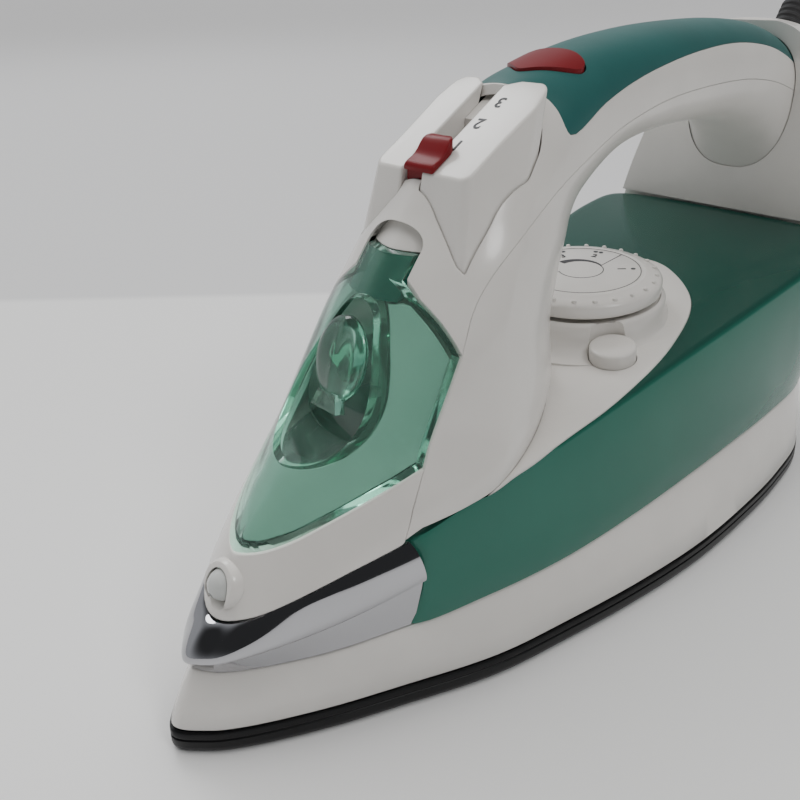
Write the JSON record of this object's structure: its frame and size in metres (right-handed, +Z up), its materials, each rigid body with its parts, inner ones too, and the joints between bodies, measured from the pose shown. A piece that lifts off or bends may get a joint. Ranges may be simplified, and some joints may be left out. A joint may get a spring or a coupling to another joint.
{
  "type": "steam iron",
  "caption": "Household steam iron with a coated soleplate, green water tank, clear front window with a filler lid, temperature dial, steam slider and heel rest.",
  "frame": {"origin": "middle of the overall footprint, on the surface the soleplate stands on", "axes": "+Z up from the soleplate, +Y from the nose towards the heel, +X to the user's left"},
  "size_m": [0.1172, 0.296, 0.1557],
  "materials": {
    "sole_coat": "dark non-stick coat, satin",
    "white_plastic": "warm white, glossy",
    "inner_plastic": "plain moulded",
    "chrome": "mirror plated",
    "clear_green": "transparent sea green, polished",
    "tank_green": "translucent deep green, semi-gloss",
    "grip_green": "satin teal",
    "clear_red": "transparent red, polished",
    "rubber": "matt",
    "silicone": "matt",
    "steel": "plain",
    "brass": "plain",
    "heat_plastic": "moulded phenolic"
  },
  "bodies": {
    "iron": {"soleplate": "sole_coat", "chamber_gasket": "silicone", "steam_chamber_cover": "steel", "heating_element": "steel", "heat_shield": "heat_plastic", "thermostat": "brass", "thermal_fuse": "steel", "skirt": "white_plastic", "base_screw_front": "steel", "base_screw_rear_left": "steel", "base_screw_rear_right": "steel", "nose_trim": "chrome", "front_cover": "white_plastic", "spray_nozzle": "white_plastic", "front_window": "clear_green", "filler_basin": "clear_green", "window_liner": "inner_plastic", "lid_pin": "steel", "water_tank": "tank_green", "dial_sleeve": "tank_green", "self_clean_sleeve": "tank_green", "deck_cover": "white_plastic", "self_clean_spring": "steel", "handle_shell": "white_plastic", "body_shell": "white_plastic", "handle_grip": "grip_green", "pilot_lens": "clear_red", "pilot_lamp": "brass", "button_carrier": "inner_plastic", "spray_pump_body": "inner_plastic", "spray_spring": "steel", "burst_pump_body": "inner_plastic", "burst_spring": "steel", "spray_pipe": "silicone", "burst_pipe": "silicone", "drip_valve_seat": "brass", "heel_cover": "white_plastic", "heel_foot_lower_left": "rubber", "heel_foot_lower_right": "rubber", "heel_foot_upper_left": "rubber", "heel_foot_upper_right": "rubber", "heel_screw_left": "steel", "heel_screw_right": "steel", "terminal_block": "inner_plastic", "lead_left": "silicone", "lead_right": "silicone", "gland_collar": "white_plastic"},
    "lid": {"filler_lid": "clear_green"},
    "dial": {"temperature_dial": "white_plastic", "dial_shaft": "brass"},
    "clean_button": {"self_clean_button": "white_plastic", "self_clean_rod": "steel"},
    "spray_key": {"spray_button": "white_plastic", "spray_piston": "brass"},
    "burst_key": {"steam_burst_button": "white_plastic", "burst_piston": "brass"},
    "slider": {"steam_slider": "clear_red", "slider_link": "steel"},
    "needle": {"drip_valve_needle": "steel"},
    "gland": {"cord_gland": "rubber"}
  },
  "joints": [
    {"name": "filler_lid_hinge", "type": "hinge", "parent": "iron", "child": "lid", "pos_m": [0, -0.08184, 0.0978], "axis": [-1, 0, 0], "range_deg": [0, 85]},
    {"name": "temperature_dial_turn", "type": "hinge", "parent": "iron", "child": "dial", "pos_m": [0, 0.0132, 0.083], "axis": [0, -0.0599, 0.9982], "range_deg": [0, 270]},
    {"name": "self_clean_press", "type": "slide", "parent": "iron", "child": "clean_button", "axis": [0, 0.1512, -0.9885], "range_m": [0, 0.0035], "stiffness_N_per_m": 600, "springref_m": -0.002},
    {"name": "spray_press", "type": "slide", "parent": "iron", "child": "spray_key", "axis": [0, -0.3, -0.9539], "range_m": [0, 0.003], "stiffness_N_per_m": 900, "springref_m": -0.003},
    {"name": "steam_burst_press", "type": "slide", "parent": "iron", "child": "burst_key", "axis": [0, -0.3, -0.9539], "range_m": [0, 0.003], "stiffness_N_per_m": 900, "springref_m": -0.003},
    {"name": "steam_slider_travel", "type": "slide", "parent": "iron", "child": "slider", "axis": [0, 0.8725, 0.4886], "range_m": [0, 0.0165]},
    {"name": "drip_valve_lift", "type": "slide", "parent": "iron", "child": "needle", "axis": [0, 0, 1], "range_m": [0, 0.0015]},
    {"name": "cord_gland_swing", "type": "hinge", "parent": "iron", "child": "gland", "pos_m": [0, 0.128, 0.134], "axis": [0, 0.8, -0.6], "range_deg": [-20, 20]}
  ],
  "couplings": [
    {"joint": "drip_valve_lift", "follows": "steam_slider_travel", "ratio": 0.09}
  ]
}
